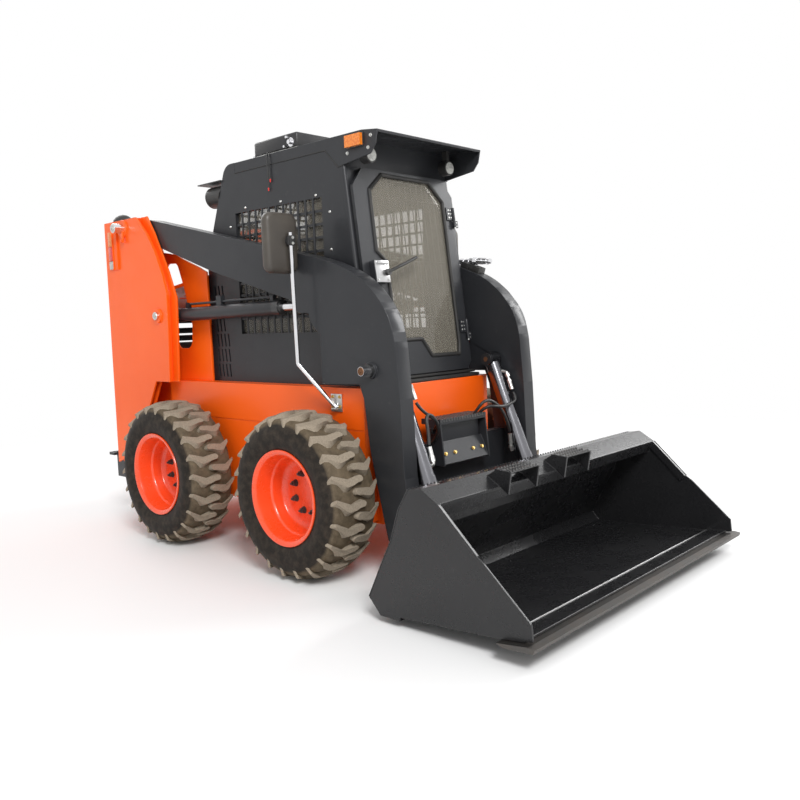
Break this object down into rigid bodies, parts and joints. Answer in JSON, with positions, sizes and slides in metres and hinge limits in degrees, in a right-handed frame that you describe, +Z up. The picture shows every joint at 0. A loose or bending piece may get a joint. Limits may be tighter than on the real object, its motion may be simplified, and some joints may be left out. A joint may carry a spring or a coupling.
{
  "type": "skid steer loader",
  "caption": "Compact skid steer loader with lift arms, a dirt bucket, a closed cab with a hinged front door, a rear engine door and wide lugged tyres.",
  "frame": {"origin": "on the ground, below the middle of the overall length and between the wheels", "axes": "+Z up, machine front towards -Y, machine left towards +X"},
  "size_m": [1.926, 3.722, 2.285],
  "materials": {
    "body_orange": "gloss",
    "rim_red_orange": "satin",
    "charcoal_grey": "satin",
    "edge_steel": "worn",
    "engine_iron": "matt",
    "cylinder_steel": "gloss",
    "chrome": "polished",
    "glass": "clear",
    "tyre": "matt",
    "seat_cover": "matt",
    "black_plastic": "matt",
    "amber_lens": "gloss",
    "tail_lens": "gloss"
  },
  "bodies": {
    "chassis": {"chassis_tub": "body_orange", "chain_cases": "body_orange", "axle_tubes": "engine_iron", "boom_pins": "chrome", "tower_right": "body_orange", "tower_left": "body_orange", "tail_lamps": "tail_lens", "engine_hood": "body_orange", "rear_bumper": "charcoal_grey", "engine_block": "engine_iron", "cab_sides": "charcoal_grey", "side_windows": "glass", "cab_roof": "charcoal_grey", "cab_rear": "charcoal_grey", "rear_window": "glass", "cab_front": "charcoal_grey", "roof_box": "charcoal_grey", "seat": "seat_cover", "control_levers": "black_plastic", "work_lamps": "black_plastic", "signal_lamps": "amber_lens", "mirrors": "black_plastic"},
    "cab_door": {"door_frame": "charcoal_grey", "door_glass": "glass"},
    "engine_door": {"rear_door": "charcoal_grey"},
    "boom": {"arm_right": "charcoal_grey", "arm_left": "charcoal_grey", "tilt_pins": "chrome", "boom_cross": "charcoal_grey", "quick_couplers": "chrome"},
    "bucket": {"bucket_shell": "charcoal_grey", "cutting_edge": "edge_steel", "quick_plate": "charcoal_grey"},
    "lift_barrels": {"lift_barrels": "cylinder_steel"},
    "lift_rods": {"lift_rods": "chrome"},
    "tilt_barrels": {"tilt_barrels": "cylinder_steel"},
    "tilt_rods": {"tilt_rods": "chrome"},
    "wheel_front_right": {"tyre_front_right": "tyre", "rim_front_right": "rim_red_orange"},
    "wheel_front_left": {"tyre_front_left": "tyre", "rim_front_left": "rim_red_orange"},
    "wheel_rear_right": {"tyre_rear_right": "tyre", "rim_rear_right": "rim_red_orange"},
    "wheel_rear_left": {"tyre_rear_left": "tyre", "rim_rear_left": "rim_red_orange"}
  },
  "joints": [
    {"name": "boom_lift", "type": "hinge", "parent": "chassis", "child": "boom", "pos_m": [0, 1.43, 1.9], "axis": [-1, 0, 0], "range_deg": [0, 60]},
    {"name": "bucket_tilt", "type": "hinge", "parent": "boom", "child": "bucket", "pos_m": [0, -0.883, 0.164], "axis": [1, 0, 0], "range_deg": [-20, 75]},
    {"name": "lift_barrel_swing", "type": "hinge", "parent": "chassis", "child": "lift_barrels", "pos_m": [0, 1.079, 1.339], "axis": [-1, 0, 0], "range_deg": [0, 60.6]},
    {"name": "lift_rod_slide", "type": "slide", "parent": "lift_barrels", "child": "lift_rods", "axis": [0, -0.9999, 0.0123], "range_m": [0, 0.6615]},
    {"name": "tilt_barrel_swing", "type": "hinge", "parent": "boom", "child": "tilt_barrels", "pos_m": [0, -0.693, 1.029], "axis": [-1, 0, 0], "range_deg": [-1.3, 4.7]},
    {"name": "tilt_rod_slide", "type": "slide", "parent": "tilt_barrels", "child": "tilt_rods", "axis": [0, -0.3632, -0.9317], "range_m": [-0.064, 0.235]},
    {"name": "cab_door_hinge", "type": "hinge", "parent": "chassis", "child": "cab_door", "pos_m": [0.37, -0.52534, 1.46187], "axis": [0, 0.1191, 0.9929], "range_deg": [0, 85]},
    {"name": "engine_door_hinge", "type": "hinge", "parent": "chassis", "child": "engine_door", "pos_m": [0.405, 1.704, 0.914], "axis": [0, 0, -1], "range_deg": [0, 85]},
    {"name": "wheel_front_right_spin", "type": "hinge", "parent": "chassis", "child": "wheel_front_right", "pos_m": [-0.692, -0.3285, 0.419], "axis": [1, 0, 0], "continuous": true},
    {"name": "wheel_front_left_spin", "type": "hinge", "parent": "chassis", "child": "wheel_front_left", "pos_m": [0.692, -0.3285, 0.419], "axis": [1, 0, 0], "continuous": true},
    {"name": "wheel_rear_right_spin", "type": "hinge", "parent": "chassis", "child": "wheel_rear_right", "pos_m": [-0.692, 0.8325, 0.419], "axis": [1, 0, 0], "continuous": true},
    {"name": "wheel_rear_left_spin", "type": "hinge", "parent": "chassis", "child": "wheel_rear_left", "pos_m": [0.692, 0.8325, 0.419], "axis": [1, 0, 0], "continuous": true}
  ],
  "couplings": [
    {"joint": "lift_barrel_swing", "follows": "boom_lift", "ratio": 1.007},
    {"joint": "lift_rod_slide", "follows": "boom_lift", "m_per_rad": 0.6314},
    {"joint": "tilt_barrel_swing", "follows": "bucket_tilt", "ratio": 0.0621},
    {"joint": "tilt_rod_slide", "follows": "bucket_tilt", "m_per_rad": 0.1777}
  ]
}
